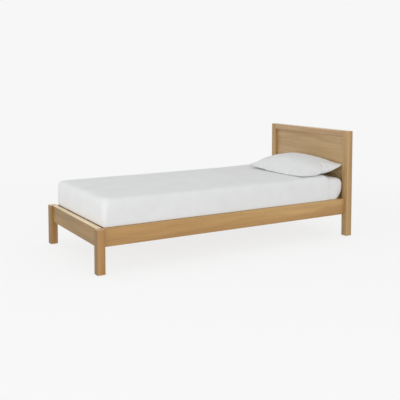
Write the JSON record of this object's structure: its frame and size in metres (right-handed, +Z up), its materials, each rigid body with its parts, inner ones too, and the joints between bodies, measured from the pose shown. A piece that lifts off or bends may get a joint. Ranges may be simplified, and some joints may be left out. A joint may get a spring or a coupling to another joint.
{
  "type": "panel bed",
  "caption": "Single oak bed with a low foot end and a framed panel headboard, a slatted base on ledgers, knock-down side rails, a mattress and a pillow that lift off.",
  "frame": {"origin": "on the floor, under the middle of the bed", "axes": "+Z up, +Y along the bed from the foot end to the headboard, +X across the bed, towards the side that the picture shows"},
  "size_m": [0.97, 2.11, 0.82],
  "materials": {
    "oak_posts": "satin lacquered oak",
    "oak_side_rails": "satin lacquered oak",
    "oak_foot_rail": "satin lacquered oak",
    "oak_headboard_rails": "satin lacquered oak",
    "oak_panel": "satin lacquered oak",
    "pine_slats": "planed pine",
    "webbing": "woven tape",
    "beech_dowels": "fluted beech",
    "glide_plastic": "moulded plastic",
    "zinc_steel": "zinc plated",
    "sheet_cotton": "white cotton sheet over the mattress",
    "pillow_cotton": "white cotton pillowcase over the pillow"
  },
  "bodies": {
    "bed_frame": {"foot_post_right": "oak_posts", "foot_post_left": "oak_posts", "head_post_right": "oak_posts", "head_post_left": "oak_posts", "side_rail_right": "oak_side_rails", "side_rail_left": "oak_side_rails", "slat_batten_right": "pine_slats", "slat_batten_left": "pine_slats", "slat_webbing_right": "webbing", "slat_webbing_left": "webbing", "foot_rail": "oak_foot_rail", "headboard_top_rail": "oak_headboard_rails", "headboard_bottom_rail": "oak_headboard_rails", "headboard_panel": "oak_panel", "slat_01": "pine_slats", "slat_02": "pine_slats", "slat_03": "pine_slats", "slat_04": "pine_slats", "slat_05": "pine_slats", "slat_06": "pine_slats", "slat_07": "pine_slats", "slat_08": "pine_slats", "slat_09": "pine_slats", "slat_10": "pine_slats", "slat_11": "pine_slats", "slat_12": "pine_slats", "slat_13": "pine_slats", "slat_14": "pine_slats", "side_rail_dowels": "beech_dowels", "rail_studs": "zinc_steel", "stud_inserts": "zinc_steel", "half_moon_washers": "zinc_steel", "stud_nuts": "zinc_steel", "post_glides": "glide_plastic"},
    "mattress_body": {"mattress": "sheet_cotton"},
    "pillow_body": {"pillow": "pillow_cotton"}
  },
  "joints": [
    {"name": "mattress_lift", "type": "slide", "parent": "bed_frame", "child": "mattress_body", "axis": [0, -0.2588, 0.9659], "range_m": [0, 0.6]},
    {"name": "pillow_lift", "type": "slide", "parent": "mattress_body", "child": "pillow_body", "axis": [0, -0.2588, 0.9659], "range_m": [0, 0.4]}
  ]
}
